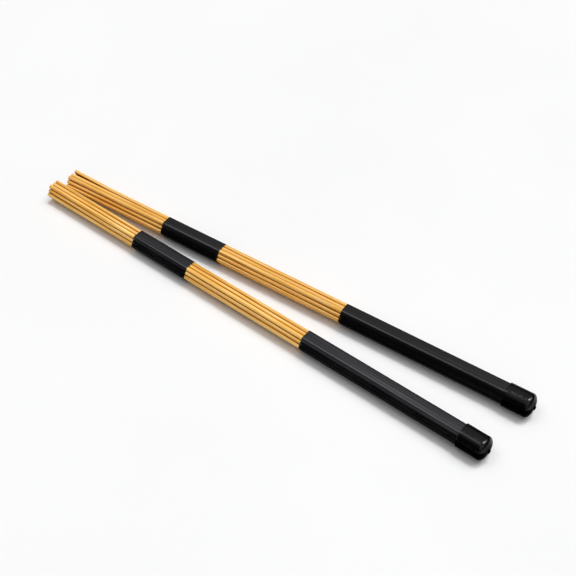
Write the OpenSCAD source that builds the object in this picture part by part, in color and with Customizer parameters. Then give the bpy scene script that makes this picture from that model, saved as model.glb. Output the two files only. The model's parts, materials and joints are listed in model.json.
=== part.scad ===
// A pair of drum rods: each stick is a bundle of thin bamboo dowels in a shrink grip, with a
// sliding tension band and a push-on vinyl cap. Both lie flat on the floor, tips toward +Y.
// Millimetres, +Z up. The origin is the bottom centre of the whole pair.

/* [Sticks] */
// Length of the left stick, from the end of its cap to its dowel tips
left_length = 394.4; // [360:0.1:440]
// Length of the right stick
right_length = 398; // [360:0.1:440]
// Distance between the two axes at the butt ends
butt_spacing = 46.6; // [36:0.1:90]
// Gap between the two bundles at the tips
tip_gap = 0.6; // [0.6:0.1:18]
// How much further toward -Y the right stick lies
stagger = 7.1; // [0:0.1:30]

/* [Dowels] */
// Diameter of one dowel
dowel_d = 3.1; // [2.8:0.05:3.2]
// Gap between neighbouring dowels where they are held together
dowel_gap = 0.03; // [0.02:0.01:0.06]
// Bevel at the cut ends of a dowel
end_bevel = 0.2; // [0.1:0.05:0.4]
// How far the free ends stand out from the bundle on average
splay = 0.2; // [0:0.05:0.2]
// How much the cut ends differ in length
end_spread = 0.6; // [0:0.1:3]

/* [Grip] */
// Front edge of the grip, measured from the butt
grip_front = 144.3; // [110:0.1:170]
// Wall of the shrink sleeve that makes the grip
grip_wall = 0.25; // [0.2:0.05:0.6]

/* [Band] */
// Rear edge of the tension band, measured from the butt
band_rear = 249.2; // [200:0.1:260]
// Length of the tension band
band_length = 52.9; // [30:0.1:60]
// Wall of the tension band
band_wall = 0.25; // [0.2:0.05:0.6]
// Running clearance between the band and the dowels
band_play = 0.05; // [0.02:0.01:0.1]

/* [Cap] */
// Length of the cap
cap_length = 20.5; // [16:0.1:30]
// Wall of the cap around the grip
cap_wall = 0.56; // [0.5:0.01:1.2]
// Running clearance between the cap and the corners of the grip
cap_play = 0.05; // [0.02:0.01:0.1]
// Depth of the domed end
dome_depth = 5; // [4:0.1:6]
// Fullness of the dome, where 2 is a plain ellipse
dome_fullness = 2.4; // [2:0.1:3]
// Wall of the dome at its middle
end_wall = 1.2; // [1:0.1:1.6]
// Radius of the moulding nub
nub_r = 1.5; // [0.8:0.1:2]
// Height of the moulding nub
nub_rise = 0.8; // [0.3:0.1:1]

/* [Hidden] */
rows = 5;                         // rows of 3, 4, 5, 4 and 3 dowels
middle_row = 2;
dowel_count = 19;
fine = 48;                        // sides of a small circle
cap_fine = 96;                    // sides of the cap
dome_step = 5;                    // degrees between two points of the dome's outline
pitch = dowel_d + dowel_gap;
row_step = pitch * sin(60);
corner_reach = 2 * pitch;         // from the axis to the centre of a corner dowel
dowel_r = dowel_d / 2;
grip_play = 0.01;
grip_round = dowel_r + grip_play + grip_wall;
cap_bore_r = corner_reach + grip_round + cap_play;
cap_r = cap_bore_r + cap_wall;
rim_round = cap_wall / 2;         // the mouth rim is fully rounded
dome_end = nub_rise + dome_depth; // the straight wall of the cap starts here
grip_start = dome_end + 0.2;
dowel_start = grip_start - 1.2;   // the dowels reach a little into the dome
band_front = band_rear + band_length;
first_knee = band_front + 4;      // the free ends begin to spread here
knee_place = 0.6;                 // place of the second knee between the first one and the tip
knee_share = 0.2;                 // share of the spread that is reached there
taper_step = 0.02;                // each further length of a dowel is this much thinner
rod_lap = 0.6;                    // and starts this far inside the length before it

// Each stick rests on the mouth end of its cap and on the tips of its lowest dowels.
rest_station = cap_length - rim_round;
tip_drop = middle_row * row_step + dowel_r;
tip_spacing = 2 * (corner_reach + dowel_r) + tip_gap;
yaw = asin((butt_spacing - tip_spacing) / 2 / max(left_length, right_length));

function length_of(side) = side == "left" ? left_length : right_length;
function slope(side) =
    atan((cap_r - tip_drop) / (length_of(side) - end_bevel - rest_station));
function butt_height(side) = cap_r * cos(slope(side)) + rest_station * sin(slope(side));
function plan_length(side) = length_of(side) * cos(slope(side)) * cos(yaw);
front_y = max(plan_length("left"), plan_length("right") - stagger);
middle_y = (front_y - stagger) / 2;

bamboo = [0.90, 0.70, 0.40];
shrink = [0.06, 0.06, 0.07];
vinyl = [0.03, 0.03, 0.03];

function two_digits(k) = k < 10 ? str("0", k) : str(k);
function dowel_name(side, k) = str(side, "_dowel_", two_digits(k));
sides = ["left", "right"];

// Dowels are counted from the bottom row up, and from left to right in a row.
function row_size(row) = rows - abs(row - middle_row);
function row_first(row) = row == 0 ? 1 : row_first(row - 1) + row_size(row - 1);
function row_of(k, row = 0) = k < row_first(row) + row_size(row) ? row : row_of(k, row + 1);
function seat(k) =
    let (row = row_of(k), place = k - row_first(row))
    [(place - (row_size(row) - 1) / 2) * pitch, (row - middle_row) * row_step];

// A fixed scatter from 0 to 1 for each dowel of each stick; salt gives a second, other one.
dowel_turn = 127.1;
salt_turn = 57.9;
side_turn = 74.3;
scatter_gain = 43.7585;
function scatter(side, k, salt) =
    let (turn = k * dowel_turn + (side == "left" ? 0 : side_turn) + salt * salt_turn)
    let (v = sin(turn) * scatter_gain)
    v - floor(v);

// The dowels whose tips stand apart, as [side, dowel, sideways, upward].
stray_dowels = [
    ["left", 1, -0.25, 0],
    ["left", 4, -0.3, 0],
    ["left", 8, -0.3, 0],
    ["left", 12, 0.1, 0],
    ["left", 13, -0.15, 0.05],
    ["left", 19, 0.12, 0.15],
    ["right", 4, -0.4, 0],
    ["right", 8, -0.45, 0],
    ["right", 13, -0.3, 0.1],
    ["right", 16, 0.55, 0.3],
    ["right", 18, -0.06, 0.15],
    ["right", 19, 1.15, 0.75]
];
function stray(side, k) = [
    for (s = stray_dowels)
        if (s[0] == side && s[1] == k) [s[2], s[3]]
];

// The others move away from the axis, and the lower ones only sideways.
least_share = 0.75;
function outward(side, k) =
    let (at = seat(k), share = least_share + (1 - least_share) * scatter(side, k, 1))
    [at[0], max(at[1], 0)] * splay * share / corner_reach;
function spread(side, k) = len(stray(side, k)) > 0 ? stray(side, k)[0] : outward(side, k);
function dowel_end(side, k) =
    length_of(side) - (row_of(k) == 0 ? 0 : end_spread * scatter(side, k, 2));

// A round rod of radius r from point a to point b, which starts a little before a.
module rod(a, b, r, lap) {
    d = b - a;
    reach = norm(d);
    translate(a)
        rotate([0, acos(d[2] / reach), atan2(d[1], d[0])])
            translate([0, 0, -lap])
                union() {
                    cylinder(r = r, h = reach + lap - end_bevel, $fn = fine);
                    translate([0, 0, reach + lap - end_bevel])
                        cylinder(r1 = r, r2 = r - end_bevel, h = end_bevel, $fn = fine);
                }
}

// The outline of something wrapped tightly around the bundle, with rounded corners.
module wrapped(round_r) {
    face = corner_reach * cos(30) + round_r;
    union() {
        circle(r = corner_reach, $fn = 6);
        for (turn = [0 : 60 : 120])
            rotate(turn + 90)
                square([2 * face, corner_reach], center = true);
        for (turn = [0 : 60 : 300])
            rotate(turn)
                translate([corner_reach, 0])
                    circle(r = round_r, $fn = fine);
    }
}

// A shrink sleeve around the bundle, from station a to station b.
module sleeve(a, b, wall, play) {
    translate([0, a, 0])
        rotate([-90, 0, 0])
            difference() {
                linear_extrude(height = b - a)
                    wrapped(dowel_r + play + wall);
                translate([0, 0, -1])
                    linear_extrude(height = b - a + 2)
                        wrapped(dowel_r + play);
            }
}

// Half the outline of a dome whose top is at station a and whose foot, of radius r, is at b.
function dome(r, a, b) = [
    for (turn = [0 : dome_step : 90])
        [
            r * pow(sin(turn), 2 / dome_fullness),
            a + (b - a) * (1 - pow(cos(turn), 2 / dome_fullness))
        ]
];

// The cap: a round cup with a domed end, a nub on it, and a rounded mouth.
module cup() {
    mouth = cap_length - rim_round;
    outside = concat(dome(cap_r, nub_rise, dome_end), [[cap_r, mouth], [0, mouth]]);
    top_of_bore = cap_length + 1;
    inside = concat(
        dome(cap_bore_r, nub_rise + end_wall, dome_end),
        [[cap_bore_r, top_of_bore], [0, top_of_bore]]
    );
    rotate([-90, 0, 0])
        rotate_extrude($fn = cap_fine)
            difference() {
                union() {
                    polygon(outside);
                    square([nub_r, nub_rise + end_wall / 2]);
                    translate([cap_r - rim_round, mouth])
                        circle(r = rim_round, $fn = fine);
                }
                polygon(inside);
            }
}

// Puts a stick's piece in its place on the floor: the left stick at -X, the right one at +X.
module laid(side) {
    hand = side == "left" ? -1 : 1;
    back = side == "left" ? 0 : stagger;
    translate([hand * butt_spacing / 2, -middle_y - back, butt_height(side)])
        rotate([0, 0, hand * yaw])
            rotate([-slope(side), 0, 0])
                children();
}

// One dowel: straight through the grip and the band, then spreading a little to its tip.
module dowel(side, k) {
    at = seat(k);
    out = spread(side, k);
    second_knee = first_knee + knee_place * (length_of(side) - first_knee);
    start = [at[0], dowel_start, at[1]];
    knee_a = [at[0], first_knee, at[1]];
    knee_b = [at[0] + knee_share * out[0], second_knee, at[1] + knee_share * out[1]];
    tip = [at[0] + out[0], dowel_end(side, k), at[1] + out[1]];
    color(bamboo)
        laid(side)
            union() {
                rod(start, knee_a, dowel_r, 0);
                rod(knee_a, knee_b, dowel_r - taper_step, rod_lap);
                rod(knee_b, tip, dowel_r - 2 * taper_step, rod_lap);
            }
}

module grip(side) {
    color(shrink)
        laid(side)
            sleeve(grip_start, grip_front, grip_wall, grip_play);
}

module band(side) {
    color(shrink)
        laid(side)
            sleeve(band_rear, band_front, band_wall, band_play);
}

module cap(side) {
    color(vinyl)
        laid(side)
            cup();
}

for (side = sides) {
    for (k = [1 : dowel_count]) {
        dowel(side, k);
    }
    grip(side);
    band(side);
    cap(side);
}
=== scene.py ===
"""A pair of bamboo drum rods on a pale studio floor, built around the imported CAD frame. Metres, +Z up."""

import json
import math

import bpy
import numpy as np
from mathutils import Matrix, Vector


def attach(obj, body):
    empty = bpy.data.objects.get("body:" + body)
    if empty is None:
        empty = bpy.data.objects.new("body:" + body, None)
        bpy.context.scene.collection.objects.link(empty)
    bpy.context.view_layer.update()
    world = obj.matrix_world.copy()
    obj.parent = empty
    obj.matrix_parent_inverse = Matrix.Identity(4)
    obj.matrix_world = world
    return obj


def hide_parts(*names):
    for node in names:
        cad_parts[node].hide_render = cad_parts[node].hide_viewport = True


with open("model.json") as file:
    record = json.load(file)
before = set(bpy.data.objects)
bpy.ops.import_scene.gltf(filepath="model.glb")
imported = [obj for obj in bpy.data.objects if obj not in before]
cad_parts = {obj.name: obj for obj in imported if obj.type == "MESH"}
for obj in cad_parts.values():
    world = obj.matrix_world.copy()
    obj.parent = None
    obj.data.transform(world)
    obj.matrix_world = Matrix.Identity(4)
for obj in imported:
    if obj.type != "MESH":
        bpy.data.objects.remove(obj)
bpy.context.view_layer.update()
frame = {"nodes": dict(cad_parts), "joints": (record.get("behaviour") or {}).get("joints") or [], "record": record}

MM = 0.001
SIDES = ("left", "right")
DOWELS = 19
CORE_DOWEL = 10                   # the middle one, which is straight
END_RING = 0.05 * MM              # corners this close to a dowel's end belong to its end ring
nodes = frame["nodes"]
record = frame["record"]


# ---------------------------------------------------------------- the frame of each stick

class Stick:
    """A stick's own axes: s runs along it from the butt to the tips, a to its right and b upward."""

    def __init__(self, side):
        joint = next(j for j in frame["joints"] if j["name"] == f"{side}_band_slide")
        mount = next(m for m in record["mounts"] if m["name"] == f"{side}_cap_outside")
        self.side = side
        self.along = np.array(Vector(joint["axis"]).normalized())
        self.right = np.cross(self.along, [0.0, 0.0, 1.0])
        self.right /= np.linalg.norm(self.right)
        self.up = np.cross(self.right, self.along)
        self.origin = np.array(mount["pos_m"], float)
        self.cap_radius = mount["dims"]["r_mm"] * MM
        self.origin = self.origin + self.along * self.span(f"{side}_cap")[0]

    def local(self, node):
        """A CAD node's corners as (a, b, s)."""
        at = np.array([v.co for v in nodes[node].data.vertices], float) - self.origin
        return np.stack([at @ self.right, at @ self.up, at @ self.along], axis=1)

    def span(self, node):
        """The first and last station of a CAD node."""
        s = self.local(node)[:, 2]
        return s.min(), s.max()

    def world(self, a, b, s):
        """Points in the row frame, from arrays of a, b and s."""
        a, b, s = (np.asarray(v, float)[..., None] for v in (a, b, s))
        return self.origin + a * self.right + b * self.up + s * self.along


RING_GAP = 5 * MM                  # a longer way than this between corners separates two rings


def centre_line(stick, node):
    """A dowel's bends as rows of (a, b, s), read from the rings of corners where its lengths meet."""
    corners = stick.local(node)
    corners = corners[np.argsort(corners[:, 2])]
    breaks = np.where(np.diff(corners[:, 2]) > RING_GAP)[0] + 1
    rings = np.split(corners, breaks)
    line = []
    for i, ring in enumerate(rings):
        stations = ring[:, 2]
        if i == 0:
            s = stations.min()
        elif i == len(rings) - 1:
            s = stations.max()
        else:
            s = stations.mean()
        middle = (ring.min(axis=0) + ring.max(axis=0)) / 2
        line.append([middle[0], middle[1], s])
    return np.array(line)


# ---------------------------------------------------------------- mesh helpers

def wave(rng, s, lengths, size):
    """A smooth wandering line: a few sines of the given wavelengths with random phases."""
    total = np.zeros_like(s)
    for length in lengths:
        total += rng.uniform(0.5, 1.0) * np.sin(2 * math.pi * (s / length + rng.random()))
    return total * size / len(lengths)


def ease(x):
    """0 below 0, 1 above 1, and a smooth step between them."""
    x = np.clip(x, 0, 1)
    return x * x * (3 - 2 * x)


def rounded_ends(inside, edge):
    """Stations with three more at each end that round an edge off, and how far each one is set in."""
    turn = np.linspace(0, math.pi / 2, 4)
    s = np.concatenate([inside[0] - edge * np.sin(turn[:0:-1]), inside, inside[-1] + edge * np.sin(turn[1:])])
    rounding = edge * (1 - np.cos(turn))
    return s, np.concatenate([rounding[:0:-1], np.zeros(len(inside)), rounding[1:]])


def skin(rings, closed_start=False, closed_end=False, loop=False):
    """Quads between rings of points. rings is (rings, points, 3). Returns corners and faces."""
    count, around = rings.shape[:2]
    corners = [tuple(p) for p in rings.reshape(-1, 3)]
    faces = []
    last = count if loop else count - 1
    for i in range(last):
        j = (i + 1) % count
        for k in range(around):
            n = (k + 1) % around
            faces.append((i * around + k, i * around + n, j * around + n, j * around + k))
    if closed_start:
        faces.append(tuple(range(around - 1, -1, -1)))
    if closed_end:
        faces.append(tuple((count - 1) * around + k for k in range(around)))
    return corners, faces


def new_piece(name, corners, faces, materials, smooth=True):
    """A mesh object in the scene."""
    mesh = bpy.data.meshes.new(name)
    mesh.from_pydata(corners, [], faces)
    mesh.validate()
    mesh.update()
    for material in materials:
        mesh.materials.append(material)
    mesh.polygons.foreach_set("use_smooth", [smooth] * len(mesh.polygons))
    piece = bpy.data.objects.new(name, mesh)
    bpy.context.scene.collection.objects.link(piece)
    return piece


def add_vectors(piece, name, values):
    """A vector on every corner, which the piece's material reads by name."""
    layer = piece.data.attributes.new(name, "FLOAT_VECTOR", "POINT")
    layer.data.foreach_set("vector", np.asarray(values, np.float32).ravel())


def add_floats(piece, name, values):
    """A number on every corner, which the piece's material reads by name."""
    layer = piece.data.attributes.new(name, "FLOAT", "POINT")
    layer.data.foreach_set("value", np.asarray(values, np.float32).ravel())


def face_height(spots, reach):
    """How far points (a, b) lie outside the hexagon through the centres of the corner dowels."""
    heading = np.radians(30 + 60 * np.arange(6))
    normals = np.stack([np.cos(heading), np.sin(heading)])
    return (spots @ normals).max(axis=1) - reach * math.cos(math.radians(30))


def toward(degrees):
    """The direction (a, b) at an angle from the stick's right side."""
    return np.array([math.cos(math.radians(degrees)), math.sin(math.radians(degrees))])


# ---------------------------------------------------------------- material helpers

class Nodes:
    """A short way to write a node tree."""

    def __init__(self, name):
        self.material = bpy.data.materials.new(name)
        self.material.use_nodes = True
        self.tree = self.material.node_tree
        self.shader = self.tree.nodes["Principled BSDF"]

    def link(self, a, b):
        self.tree.links.new(a, b)

    def node(self, kind, **settings):
        made = self.tree.nodes.new(kind)
        for key, value in settings.items():
            setattr(made, key, value)
        return made

    def attribute(self, name):
        return self.node("ShaderNodeAttribute", attribute_name=name).outputs

    def stretched(self, vector, scale, shift=(0, 0, 0)):
        made = self.node("ShaderNodeMapping")
        made.inputs["Scale"].default_value = scale
        made.inputs["Location"].default_value = shift
        self.link(vector, made.inputs["Vector"])
        return made.outputs["Vector"]

    def noise(self, vector, scale, detail=3.0, roughness=0.55):
        made = self.node("ShaderNodeTexNoise")
        made.inputs["Scale"].default_value = scale
        made.inputs["Detail"].default_value = detail
        made.inputs["Roughness"].default_value = roughness
        self.link(vector, made.inputs["Vector"])
        return made.outputs["Fac"]

    def ramp(self, value, stops):
        made = self.node("ShaderNodeValToRGB")
        band = made.color_ramp
        while len(band.elements) < len(stops):
            band.elements.new(0.5)
        for element, (place, colour) in zip(band.elements, stops):
            element.position = place
            element.color = (*colour, 1) if len(colour) == 3 else colour
        self.link(value, made.inputs["Fac"])
        return made.outputs["Color"]

    def grey(self, value, low, high, start=0.0, end=1.0):
        """value from start to end, mapped to low to high."""
        made = self.node("ShaderNodeMapRange")
        made.inputs["From Min"].default_value = start
        made.inputs["From Max"].default_value = end
        made.inputs["To Min"].default_value = low
        made.inputs["To Max"].default_value = high
        self.link(value, made.inputs["Value"])
        return made.outputs["Result"]

    def mix(self, share, a, b, blend="MIX"):
        made = self.node("ShaderNodeMix", data_type="RGBA", blend_type=blend)
        for socket, value in (("Factor", share), ("A", a), ("B", b)):
            target = next(i for i in made.inputs if i.name == socket and i.enabled)
            if hasattr(value, "is_output"):
                self.link(value, target)
            else:
                target.default_value = value if socket == "Factor" else (*value, 1)
        return next(o for o in made.outputs if o.enabled)

    def math(self, operation, a, b):
        made = self.node("ShaderNodeMath", operation=operation)
        for socket, value in zip(made.inputs, (a, b)):
            if hasattr(value, "is_output"):
                self.link(value, socket)
            else:
                socket.default_value = value
        return made.outputs["Value"]

    def bump(self, height, strength, distance, below=None):
        made = self.node("ShaderNodeBump")
        made.inputs["Strength"].default_value = strength
        made.inputs["Distance"].default_value = distance
        self.link(height, made.inputs["Height"])
        if below is not None:
            self.link(below, made.inputs["Normal"])
        return made.outputs["Normal"]

    def set(self, **values):
        for key, value in values.items():
            socket = self.shader.inputs[key.replace("_", " ")]
            if hasattr(value, "is_output"):
                self.link(value, socket)
            else:
                socket.default_value = value


def bamboo(name, pale, body, deep):
    """Lacquered bamboo: fibres run along the dowel, each dowel has its own tone, and painted shade darkens the
    grooves between dowels.
    """
    n = Nodes(name)
    grain = n.attribute("grain")["Vector"]
    tone = n.attribute("tone")["Fac"]
    groove = n.attribute("groove")["Fac"]
    fibres = n.noise(n.stretched(grain, (2200, 2200, 26)), 1.0, 4.0, 0.6)
    bundles = n.noise(n.stretched(grain, (900, 900, 9)), 1.0, 2.0, 0.5)
    patches = n.noise(n.stretched(grain, (90, 90, 22)), 1.0, 2.0, 0.5)
    streaks = n.ramp(fibres, [(0.38, deep), (0.49, body), (0.58, pale), (0.66, (1.0, 0.87, 0.56))])
    broad = n.ramp(bundles, [(0.38, deep), (0.5, body), (0.62, pale)])
    colour = n.mix(0.4, streaks, broad)
    warm = n.ramp(patches, [(0.3, (0.90, 0.82, 0.66)), (0.7, (1.0, 1.0, 1.0))])
    colour = n.mix(0.6, colour, warm, "MULTIPLY")
    shade = n.ramp(tone, [(0.0, (0.62, 0.56, 0.44)), (1.0, (1.06, 1.06, 1.06))])
    colour = n.mix(1.0, colour, shade, "MULTIPLY")
    # Painted shade: the sides of the dowels that face into the bundle are darkened towards brown-black.
    groove_shade = n.ramp(groove, [(0.22, (1.0, 1.0, 1.0)), (0.50, (0.80, 0.44, 0.08)), (0.85, (0.24, 0.04, 0.0))])
    n.set(Base_Color=n.mix(1.0, colour, groove_shade, "MULTIPLY"))
    n.set(Roughness=n.grey(fibres, 0.34, 0.55, 0.3, 0.7))
    n.set(Specular_IOR_Level=0.25)
    coarse = n.bump(bundles, 0.35, 0.00012)
    n.set(Normal=n.bump(fibres, 0.3, 0.00006, coarse))
    return n.material


def end_grain(name):
    """The sawn end of a dowel: pale pith with dark fibre bundles."""
    n = Nodes(name)
    grain = n.attribute("grain")["Vector"]
    cells = n.node("ShaderNodeTexVoronoi", feature="F1")
    cells.inputs["Scale"].default_value = 2600
    n.link(n.stretched(grain, (1, 1, 0.2)), cells.inputs["Vector"])
    dots = n.ramp(cells.outputs["Distance"], [(0.10, (0.22, 0.11, 0.035)), (0.36, (0.60, 0.38, 0.16))])
    cuts = n.noise(n.stretched(grain, (500, 4000, 500)), 1.0, 3.0)
    sawn_colour = n.ramp(cuts, [(0.3, (0.35, 0.2, 0.07)), (0.7, (0.7, 0.48, 0.22))])
    n.set(Base_Color=n.mix(0.35, dots, sawn_colour))
    n.set(Roughness=n.grey(cuts, 0.65, 0.9))
    n.set(Normal=n.bump(cuts, 0.5, 0.0001))
    return n.material


GLOSS_IOR = 1.5
DULL_IOR = 1.03                   # low on the sleeves and caps, which mirror almost nothing of the floor


def shrink(name, haze_and_sheen):
    """Glossy black heat-shrink: drawn lengthwise, with fine rub marks, and a grey haze on its top faces that is
    part rubbed wear and part painted sheen.
    """
    n = Nodes(name)
    drawn = n.attribute("grain")["Vector"]
    rubbed_and_sheen = n.attribute("rubbed_and_sheen")["Fac"]
    lines = n.noise(n.stretched(drawn, (1500, 1500, 14)), 1.0, 4.0, 0.6)
    wide = n.noise(n.stretched(drawn, (420, 420, 11)), 1.0, 2.0, 0.5)
    clouds = n.noise(n.stretched(drawn, (160, 160, 40)), 1.0, 3.0, 0.55)
    specks = n.noise(n.stretched(drawn, (2600, 2600, 1400)), 1.0, 1.0)
    streaks = n.math("MULTIPLY", n.grey(lines, 0.35, 1, 0.40, 0.66), n.grey(wide, 0.45, 1, 0.35, 0.65))
    # Painted sheen: the streaky grey haze is laid only where the top faces catch the light, and partly stands for
    # rubbed wear.
    film = n.math("MULTIPLY", streaks, rubbed_and_sheen)
    clean = (0.0010, 0.0010, 0.0016)
    hazy_sheen = tuple(haze_and_sheen * share for share in (1.0, 0.97, 1.08))
    colour = n.mix(film, clean, hazy_sheen)
    dust = n.grey(specks, 0, 0.3, 0.72, 0.80)
    n.set(Base_Color=n.mix(dust, colour, (0.03, 0.029, 0.028)))
    smooth = n.grey(clouds, 0.10, 0.17, 0.3, 0.7)
    n.set(Roughness=n.math("ADD", smooth, n.math("MULTIPLY", film, 0.15)))
    n.set(Specular_IOR_Level=0.5)
    n.set(IOR=n.grey(n.attribute("under")["Fac"], GLOSS_IOR, DULL_IOR))
    n.set(Normal=n.bump(lines, 0.12, 0.00004, n.bump(clouds, 0.2, 0.0002)))
    return n.material


def vinyl(name):
    """Glossy black dipped vinyl: a soft orange peel with hair-fine scuffs."""
    n = Nodes(name)
    at = n.attribute("grain")["Vector"]
    peel = n.noise(n.stretched(at, (420, 420, 420)), 1.0, 2.0, 0.5)
    scuffs = n.noise(n.stretched(at, (2400, 2400, 190)), 1.0, 4.0, 0.65)
    worn = n.grey(scuffs, 0, 1, 0.58, 0.78)
    n.set(Base_Color=n.mix(worn, (0.0008, 0.0008, 0.0013), (0.0035, 0.0035, 0.0045)))
    smooth = n.grey(peel, 0.10, 0.18, 0.3, 0.7)
    n.set(Roughness=n.math("ADD", smooth, n.math("MULTIPLY", worn, 0.15)))
    n.set(Specular_IOR_Level=0.32)
    n.set(IOR=n.grey(n.attribute("under")["Fac"], GLOSS_IOR, DULL_IOR))
    n.set(Normal=n.bump(scuffs, 0.08, 0.00004, n.bump(peel, 0.22, 0.00025)))
    return n.material


# ---------------------------------------------------------------- dowels

AROUND = 28
SHAVE = 0.02 * MM                 # the drawn dowel's radius is this much smaller than the CAD one's
BUTT_SHAVE = 0.03 * MM            # and it is this much shorter at its butt
TIP_SHAVE = 0.04 * MM             # and at its tip
RING_STEP = 3.2 * MM
BEVEL = 0.16 * MM
BOW = 0.05 * MM                   # how far a dowel wanders from its straight line
GRASP = 14 * MM                   # it starts to wander over this length outside the sleeves
UNEVEN = 0.006                    # its thickness varies by this share
FLATTENED = 0.012                 # and one side is flatter by this share
SAW_MARKS = 0.03 * MM
FACE_RINGS = (0.8, 0.5, 0.2)      # rings on a sawn end, as shares of its radius

# How pale a dowel is, from 0 to 1, for the ones that catch the eye.
TONES = {
    ("left", 19): 0.66, ("left", 18): 0.78, ("left", 17): 0.95,
    ("left", 13): 0.72, ("left", 8): 0.62, ("left", 4): 0.80,
    ("right", 19): 0.74, ("right", 18): 0.70, ("right", 17): 0.74, ("right", 13): 0.84, ("right", 8): 0.76,
}

# How far the painted shade in the grooves shows, for the dowels that lie so close that it hardly does.
GROOVE_SHADE_SHARE = {("right", 18): 0.45, ("right", 17): 0.6, ("left", 18): 0.8}


def dowel(stick, number, rng, materials, held, reach):
    """One bamboo dowel along its CAD centre line, not quite straight or round, with a sawn tip."""
    node = f"{stick.side}_dowel_{number:02d}"
    line = centre_line(stick, node)
    start, end = line[0, 2] + BUTT_SHAVE, line[-1, 2] - TIP_SHAVE
    corners = stick.local(node)
    first = corners[corners[:, 2] < line[0, 2] + END_RING]
    radius = (first[:, 0].max() - first[:, 0].min()) / 2 - SHAVE

    steps = np.linspace(start + BEVEL, end - BEVEL, int((end - start) / RING_STEP))
    s, shrinkage = rounded_ends(steps, BEVEL)

    a = np.interp(s, line[:, 2], line[:, 0])
    b = np.interp(s, line[:, 2], line[:, 1])
    free = np.ones_like(s)
    for low, high in held:
        free *= 1 - ease(1 - np.maximum(low - s, s - high) / GRASP)
    a += free * wave(rng, s, (70 * MM, 120 * MM, 31 * MM), BOW)
    b += free * wave(rng, s, (80 * MM, 130 * MM, 37 * MM), BOW * 0.6)

    angle = np.linspace(0, 2 * math.pi, AROUND, endpoint=False)
    flat = rng.uniform(0, 2 * math.pi)
    uneven = 1 + UNEVEN * wave(rng, s, (9 * MM, 23 * MM, 60 * MM), 1.0)
    oval = 1 - FLATTENED * np.clip(np.cos(angle - flat), 0, 1) ** 4
    r = (radius * uneven[:, None] - shrinkage[:, None]) * oval[None, :]
    across, upward = r * np.cos(angle), r * np.sin(angle)
    stations = np.repeat(s[:, None], AROUND, 1)
    rings = stick.world(a[:, None] + across, b[:, None] + upward, stations)
    grain = np.stack([across, upward, stations], axis=2)

    def face(sign, at, centre_a, centre_b, edge):
        """The sawn end: inner rings that are a little rough."""
        made, made_grain = [], []
        for share in FACE_RINGS:
            rough = -sign * np.abs(rng.normal(0, SAW_MARKS, AROUND))
            right, up = edge * share * np.cos(angle), edge * share * np.sin(angle)
            made.append(stick.world(centre_a + right, centre_b + up, at + rough))
            made_grain.append(np.stack([right, up, at + rough], axis=1))
        return made, made_grain

    front, front_grain = face(1, s[-1], a[-1], b[-1], r[-1].mean())
    back, back_grain = face(-1, s[0], a[0], b[0], r[0].mean())
    everything = np.concatenate([np.array(back[::-1]), rings, np.array(front)])
    every_grain = np.concatenate([np.array(back_grain[::-1]), grain, np.array(front_grain)])
    points, faces = skin(everything, True, True)
    piece = new_piece(f"{stick.side}_bamboo_{number:02d}", points, faces, materials)
    slots = np.zeros(len(faces), int)
    sawn_rings = len(FACE_RINGS)
    for i in range(len(faces)):
        ring = i // AROUND
        if ring < sawn_rings or ring >= len(everything) - 1 - sawn_rings:
            slots[i] = 1
    piece.data.polygons.foreach_set("material_index", slots)
    shift = rng.uniform(-1, 1, 3) * 0.4
    add_vectors(piece, "grain", every_grain.reshape(-1, 3) + shift)
    # groove: how far each corner faces into the bundle, which sets how much painted shade it gets.
    spots = line[0, :2] + every_grain[:, :, :2].reshape(-1, 2)
    inward = 1 - face_height(spots, reach) / radius
    add_floats(piece, "groove", np.clip(inward, 0, 1) * GROOVE_SHADE_SHARE.get((stick.side, number), 1.0))
    tone = TONES.get((stick.side, number), rng.uniform(0.3, 0.9))
    add_floats(piece, "tone", np.full(len(points), tone))
    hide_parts(node)
    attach(piece, f"{stick.side}_stick")


# ---------------------------------------------------------------- shrink sleeves

def wrapped_outline(reach, round_r, sag, flat_steps=16, corner_steps=7):
    """Points of a film pulled around the bundle: places, how far each may sag, and outward directions."""
    spots, loose, out = [], [], []
    for corner in range(6):
        heading = 60 * corner
        middle = toward(heading) * reach
        for turn in np.linspace(-30, 30, corner_steps):
            normal = toward(heading + turn)
            spots.append(middle + normal * round_r)
            loose.append(0.0)
            out.append(normal)
        normal = toward(heading + 30)
        following = toward(heading + 60) * reach
        for share in np.linspace(0, 1, flat_steps + 2)[1:-1]:
            spots.append(middle * (1 - share) + following * share + normal * round_r)
            loose.append(0.5 - 0.5 * math.cos(4 * math.pi * share))
            out.append(normal)
    return np.array(spots), np.array(loose) * sag, np.array(out)


SLEEVE_SAG = 0.016 * MM            # how far the film dips between two dowels
LUMP = 0.010 * MM                  # how uneven it is
FILM_EDGE = 0.13 * MM
FILM_STEP = 1.6 * MM
FILM_PLAY = 0.02 * MM              # between the film and the dowels, and at the ends of its inner side
TIGHT_END = 5 * MM                 # the film is drawn in more over this length at its ends
RIDGE = 120                        # the corner whose sides get the most painted sheen and haze, in degrees


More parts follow.
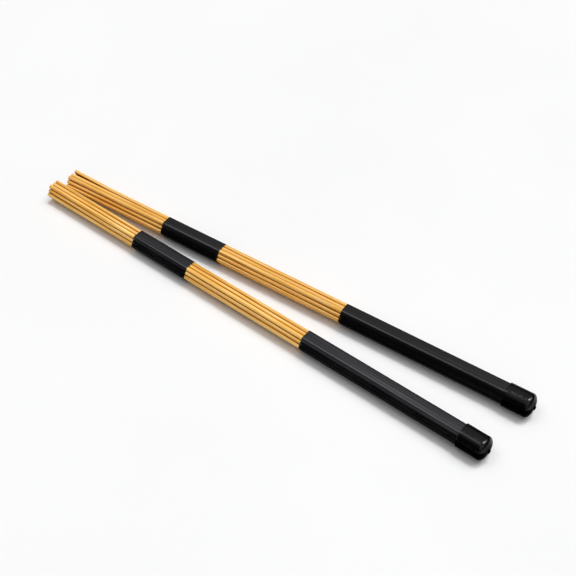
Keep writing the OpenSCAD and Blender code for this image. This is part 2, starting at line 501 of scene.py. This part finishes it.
def sleeve(stick, node, body, rng, haze_and_sheen, reach, dowel_r):
    """A heat-shrink sleeve: film that dips between the dowels and is thin and rounded at its ends."""
    low, high = stick.span(node)
    corners = stick.local(node)
    outer_round = corners[:, 0].max() - reach
    wall = outer_round - dowel_r - FILM_PLAY
    inside = np.linspace(low + FILM_EDGE, high - FILM_EDGE, int((high - low) / FILM_STEP))
    s, inset = rounded_ends(inside, FILM_EDGE)
    outline, sag, out = wrapped_outline(reach, outer_round, SLEEVE_SAG)
    around = len(outline)
    near_end = np.maximum(ease(1 - (s - low) / TIGHT_END), ease(1 - (high - s) / TIGHT_END))
    along = 0.9 + wave(rng, s, (47 * MM, 17 * MM, 90 * MM), 0.4) + 1.2 * near_end
    depth = sag[None, :] * along[:, None]
    lumps = np.zeros((len(s), around))
    place = np.arange(around) / around
    waves = 7
    for _ in range(waves):
        turns = rng.integers(1, 7)
        length = rng.uniform(12, 60) * MM
        lumps += np.sin(2 * math.pi * (turns * place[None, :] + s[:, None] / length + rng.random()))
    lumps = (lumps / waves - 1) * LUMP
    push = lumps - depth - inset[:, None]
    a = outline[None, :, 0] + push * out[None, :, 0]
    b = outline[None, :, 1] + push * out[None, :, 1]
    outer = np.stack([a, b, np.repeat(s[:, None], around, 1)], axis=2)
    inner_s = np.array([high - FILM_PLAY, (low + high) / 2, low + FILM_PLAY])
    inner_outline, _, _ = wrapped_outline(reach, outer_round - wall, 0)
    inner = np.stack([
        np.repeat(inner_outline[None, :, 0], len(inner_s), 0),
        np.repeat(inner_outline[None, :, 1], len(inner_s), 0),
        np.repeat(inner_s[:, None], around, 1),
    ], axis=2)
    local = np.concatenate([outer, inner])
    points, faces = skin(stick.world(local[:, :, 0], local[:, :, 1], local[:, :, 2]), loop=True)
    piece = new_piece(f"{node}_film", points, faces, [shrink(f"{node}_shrink", haze_and_sheen)])
    local = local.reshape(-1, 3)
    from_ridge = np.hypot(*(local[:, :2] - reach * toward(RIDGE)).T)
    # Painted sheen: the grey haze is put only on the top faces, most of it beside the ridge.
    top = ease((local[:, 1] - 4 * MM) / (2 * MM))
    add_floats(piece, "under", ease((1.3 * MM - local[:, 1]) / (0.9 * MM)))
    add_floats(piece, "rubbed_and_sheen", top * (0.25 + 0.75 * ease(1 - (from_ridge - 1.5 * MM) / (7 * MM))))
    add_vectors(piece, "grain", local + rng.uniform(-1, 1, 3) * 0.3)
    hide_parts(node)
    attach(piece, body)


# ---------------------------------------------------------------- caps

DOME_FULLNESS = 2.4
NUB_RADIUS = 1.5 * MM
NUB_RISE = 0.8 * MM
END_WALL = 1.2 * MM
# Half the outline of the nub, as (share of its radius, station).
NUB = ((0.0, 0.02 * MM), (0.5, 0.04 * MM), (0.80, 0.14 * MM), (0.95, 0.34 * MM), (0.985, 0.6 * MM))
CAP_HUG = 0.38 * MM                # the soft cap is drawn in this far over the grip's flat faces
CAP_SHAVE = 0.03 * MM              # and is this much thinner than the CAD one
CAP_UNEVEN = 0.018 * MM
CAP_AROUND = 128


def dome(radius, top, foot):
    """Half the outline of the domed end, from its middle at station top out to its foot."""
    turn = np.linspace(0, math.pi / 2, 22)
    power = 2 / DOME_FULLNESS
    out = radius * np.sin(turn) ** power
    height = top + (foot - top) * (1 - np.clip(np.cos(turn), 0, 1) ** power)
    return list(zip(out, height))


def cap(stick, rng, material):
    """The dipped vinyl cap: rounded mouth, straight wall, domed end and moulding nub."""
    node = f"{stick.side}_cap"
    low, high = stick.span(node)
    corners = stick.local(node)
    r = stick.cap_radius
    reach = np.hypot(corners[:, 0], corners[:, 1])
    bore = reach[corners[:, 2] < high - 1 * MM]
    bore = bore[bore < r - 0.3 * MM].max()
    rim = (r - bore) / 2
    on_wall = corners[np.abs(reach - r) < 0.005 * MM]
    dome_end = on_wall[:, 2].min()
    profile = [(NUB_RADIUS * share, s) for share, s in NUB]
    profile += [p for p in dome(r, NUB_RISE, dome_end) if p[0] > NUB_RADIUS * 1.06]
    straight = np.linspace(dome_end, high - rim, 12)[1:]
    profile += [(r, s) for s in straight]
    for turn in np.linspace(0, 180, 9)[1:]:
        t = math.radians(turn)
        profile.append((r - rim + rim * math.cos(t), high - rim + rim * math.sin(t)))
    for s in np.linspace(high - rim, dome_end, 8)[1:-1]:
        profile.append((bore, s))
    profile += dome(bore, NUB_RISE + END_WALL, dome_end)[::-1]
    profile = np.array(profile)
    angle = np.linspace(0, 2 * math.pi, CAP_AROUND, endpoint=False)
    rings, grain = [], []
    phases = rng.random(3)
    for radial, s in profile[1:-1]:
        share = radial / r
        over_flats = 0.5 - 0.5 * np.cos(6 * angle)
        hugging = CAP_HUG * share * ease((s - dome_end * 0.5) / (4 * MM)) * over_flats
        soft = CAP_UNEVEN * share * sum(
            math.sin(2 * math.pi * phase) * np.cos((i + 2) * angle + 6.28 * phase + s * 150)
            for i, phase in enumerate(phases))
        reach = radial - CAP_SHAVE * share + soft - hugging
        a, b, ring_s = reach * np.cos(angle), reach * np.sin(angle), np.full(CAP_AROUND, s)
        rings.append(stick.world(a, b, ring_s))
        grain.append(np.stack([a, b, ring_s], axis=1))
    points, faces = skin(np.array(rings), True, True)
    piece = new_piece(f"{node}_vinyl", points, faces, [material])
    grain = np.array(grain).reshape(-1, 3)
    low_side = ease((4.4 * MM - grain[:, 1]) / (1.8 * MM))
    end_face = ease((2.8 * MM - grain[:, 2]) / (2.0 * MM))
    add_floats(piece, "under", np.maximum(low_side, end_face))
    add_vectors(piece, "grain", grain + rng.uniform(-1, 1, 3) * 0.2)
    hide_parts(node)
    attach(piece, node)


# ---------------------------------------------------------------- build both sticks

# How grey each sleeve's top is painted: part rubbed haze, part painted sheen.
HAZE_AND_SHEEN = {"left_grip": 0.055, "left_band": 0.03, "right_grip": 0.012, "right_band": 0.02}
cap_vinyl = vinyl("cap_vinyl")
sawn = end_grain("sawn_bamboo")
woods = {
    "left": bamboo("bamboo_light", (1.0, 0.75, 0.30), (0.96, 0.53, 0.095), (0.60, 0.24, 0.012)),
    "right": bamboo("bamboo_amber", (1.0, 0.73, 0.29), (0.97, 0.53, 0.10), (0.62, 0.26, 0.012)),
}
for index, side in enumerate(SIDES):
    stick = Stick(side)
    rng = np.random.default_rng(100 + index)
    held = [stick.span(f"{side}_grip"), stick.span(f"{side}_band")]
    centres = [centre_line(stick, f"{side}_dowel_{k:02d}")[0] for k in range(1, DOWELS + 1)]
    reach = max(math.hypot(c[0], c[1]) for c in centres)
    ring = stick.local(f"{side}_dowel_{CORE_DOWEL}")
    ring = ring[ring[:, 2] < ring[:, 2].min() + END_RING]
    dowel_r = (ring[:, 0].max() - ring[:, 0].min()) / 2
    for k in range(1, DOWELS + 1):
        dowel(stick, k, rng, [woods[side], sawn], held, reach)
    sleeve(stick, f"{side}_grip", f"{side}_stick", rng, HAZE_AND_SHEEN[f"{side}_grip"], reach, dowel_r)
    sleeve(stick, f"{side}_band", f"{side}_band", rng, HAZE_AND_SHEEN[f"{side}_band"], reach, dowel_r)
    cap(stick, rng, cap_vinyl)


# ---------------------------------------------------------------- floor, light and camera

PEAK = 24.0                       # the strongest radiance
COOL = (0.99, 0.995, 1.01)
WHITE = (1.0, 1.0, 1.0)
# The room's light: directions, each with stops of (cosine of the angle from it, radiance) and a tint.
# In turn: the pale ceiling, the strip that draws the top ridges, the softbox, a lamp in it, and a fill.
GLOWS = [
    ((0.0, 0.0, 1.0), [(0.0, 0.01), (0.30, 0.03), (0.60, 0.20), (0.80, 0.50), (1.0, 0.50)], COOL),
    ((-0.158, 0.411, 0.898), [(0.95, 0.0), (0.985, 2.0), (1.0, 2.6)], WHITE),
    ((0.37, -0.25, 0.895), [(0.92, 0.0), (0.955, 2.1), (0.98, 4.9), (1.0, 5.6)], WHITE),
    ((0.25, 0.0, 0.97), [(0.990, 0.0), (0.9955, 18.0), (1.0, 24.0)], WHITE),
    ((-0.60, -0.55, 0.58), [(0.70, 0.0), (0.85, 0.3), (1.0, 0.4)], COOL),
]


FLOOR_HALF = 6.0
BACKDROP = (0.93, 0.93, 0.93, 1)


def floor():
    n = Nodes("studio_floor")
    place = n.node("ShaderNodeTexCoord").outputs["Object"]
    clouds = n.noise(place, 3.0, 3.0)
    n.set(Base_Color=n.ramp(clouds, [(0.3, (0.80, 0.80, 0.80)), (0.7, (0.83, 0.83, 0.83))]))
    n.set(Roughness=n.grey(clouds, 0.75, 0.85))
    n.set(Specular_IOR_Level=0.2)
    corners = [(x * FLOOR_HALF, y * FLOOR_HALF, 0) for x, y in ((-1, -1), (1, -1), (1, 1), (-1, 1))]
    made = new_piece("floor", corners, [(0, 1, 2, 3)], [n.material], smooth=False)


def studio():
    """A room with a pale ceiling, a softbox overhead on the +X side and dark walls."""
    world = bpy.data.worlds.new("studio")
    bpy.context.scene.world = world
    world.use_nodes = True
    tree = world.node_tree
    tree.nodes.clear()
    out = tree.nodes.new("ShaderNodeOutputWorld")
    way = tree.nodes.new("ShaderNodeTexCoord").outputs["Generated"]

    def glow(direction, stops, tint):
        """Light around a direction, from stops of (cosine of the angle from it, radiance)."""
        aim = Vector(direction).normalized()
        dot = tree.nodes.new("ShaderNodeVectorMath")
        dot.operation = "DOT_PRODUCT"
        tree.links.new(way, dot.inputs[0])
        dot.inputs[1].default_value = aim
        ramp = tree.nodes.new("ShaderNodeValToRGB")
        ramp.color_ramp.interpolation = "EASE"
        band = ramp.color_ramp
        while len(band.elements) < len(stops):
            band.elements.new(0.5)
        for element, (place, level) in zip(band.elements, stops):
            element.position = place
            element.color = (*(level / PEAK * share for share in tint), 1)
        tree.links.new(dot.outputs["Value"], ramp.inputs["Fac"])
        made = tree.nodes.new("ShaderNodeBackground")
        made.inputs["Strength"].default_value = PEAK
        tree.links.new(ramp.outputs["Color"], made.inputs["Color"])
        return made.outputs["Background"]

    total = None
    for direction, stops, tint in GLOWS:
        part = glow(direction, stops, tint)
        if total is None:
            total = part
            continue
        both = tree.nodes.new("ShaderNodeAddShader")
        tree.links.new(total, both.inputs[0])
        tree.links.new(part, both.inputs[1])
        total = both.outputs["Shader"]
    # Past the floor's edge, the room looks as pale as the floor.
    backdrop = tree.nodes.new("ShaderNodeBackground")
    backdrop.inputs["Color"].default_value = BACKDROP
    choice = tree.nodes.new("ShaderNodeMixShader")
    tree.links.new(tree.nodes.new("ShaderNodeLightPath").outputs["Is Camera Ray"], choice.inputs["Fac"])
    tree.links.new(total, choice.inputs[1])
    tree.links.new(backdrop.outputs["Background"], choice.inputs[2])
    tree.links.new(choice.outputs["Shader"], out.inputs["Surface"])


CAMERA_AT = (-0.3815, -0.30509, 0.5284)
CAMERA_HEADING = 53.35            # degrees from +Y toward +X
CAMERA_PITCH = 46.5               # degrees downward


def camera():
    data = bpy.data.cameras.new("camera")
    data.sensor_width = 36.0
    data.lens = 63.1
    data.clip_start = 0.01
    made = bpy.data.objects.new("camera", data)
    made.location = CAMERA_AT
    heading, pitch = math.radians(CAMERA_HEADING), math.radians(CAMERA_PITCH)
    level = math.cos(pitch)
    look = Vector((math.sin(heading) * level, math.cos(heading) * level, -math.sin(pitch)))
    made.rotation_euler = look.to_track_quat("-Z", "Y").to_euler()
    bpy.context.scene.collection.objects.link(made)
    bpy.context.scene.camera = made


floor()
studio()
camera()
bpy.context.scene.view_settings.view_transform = "Standard"
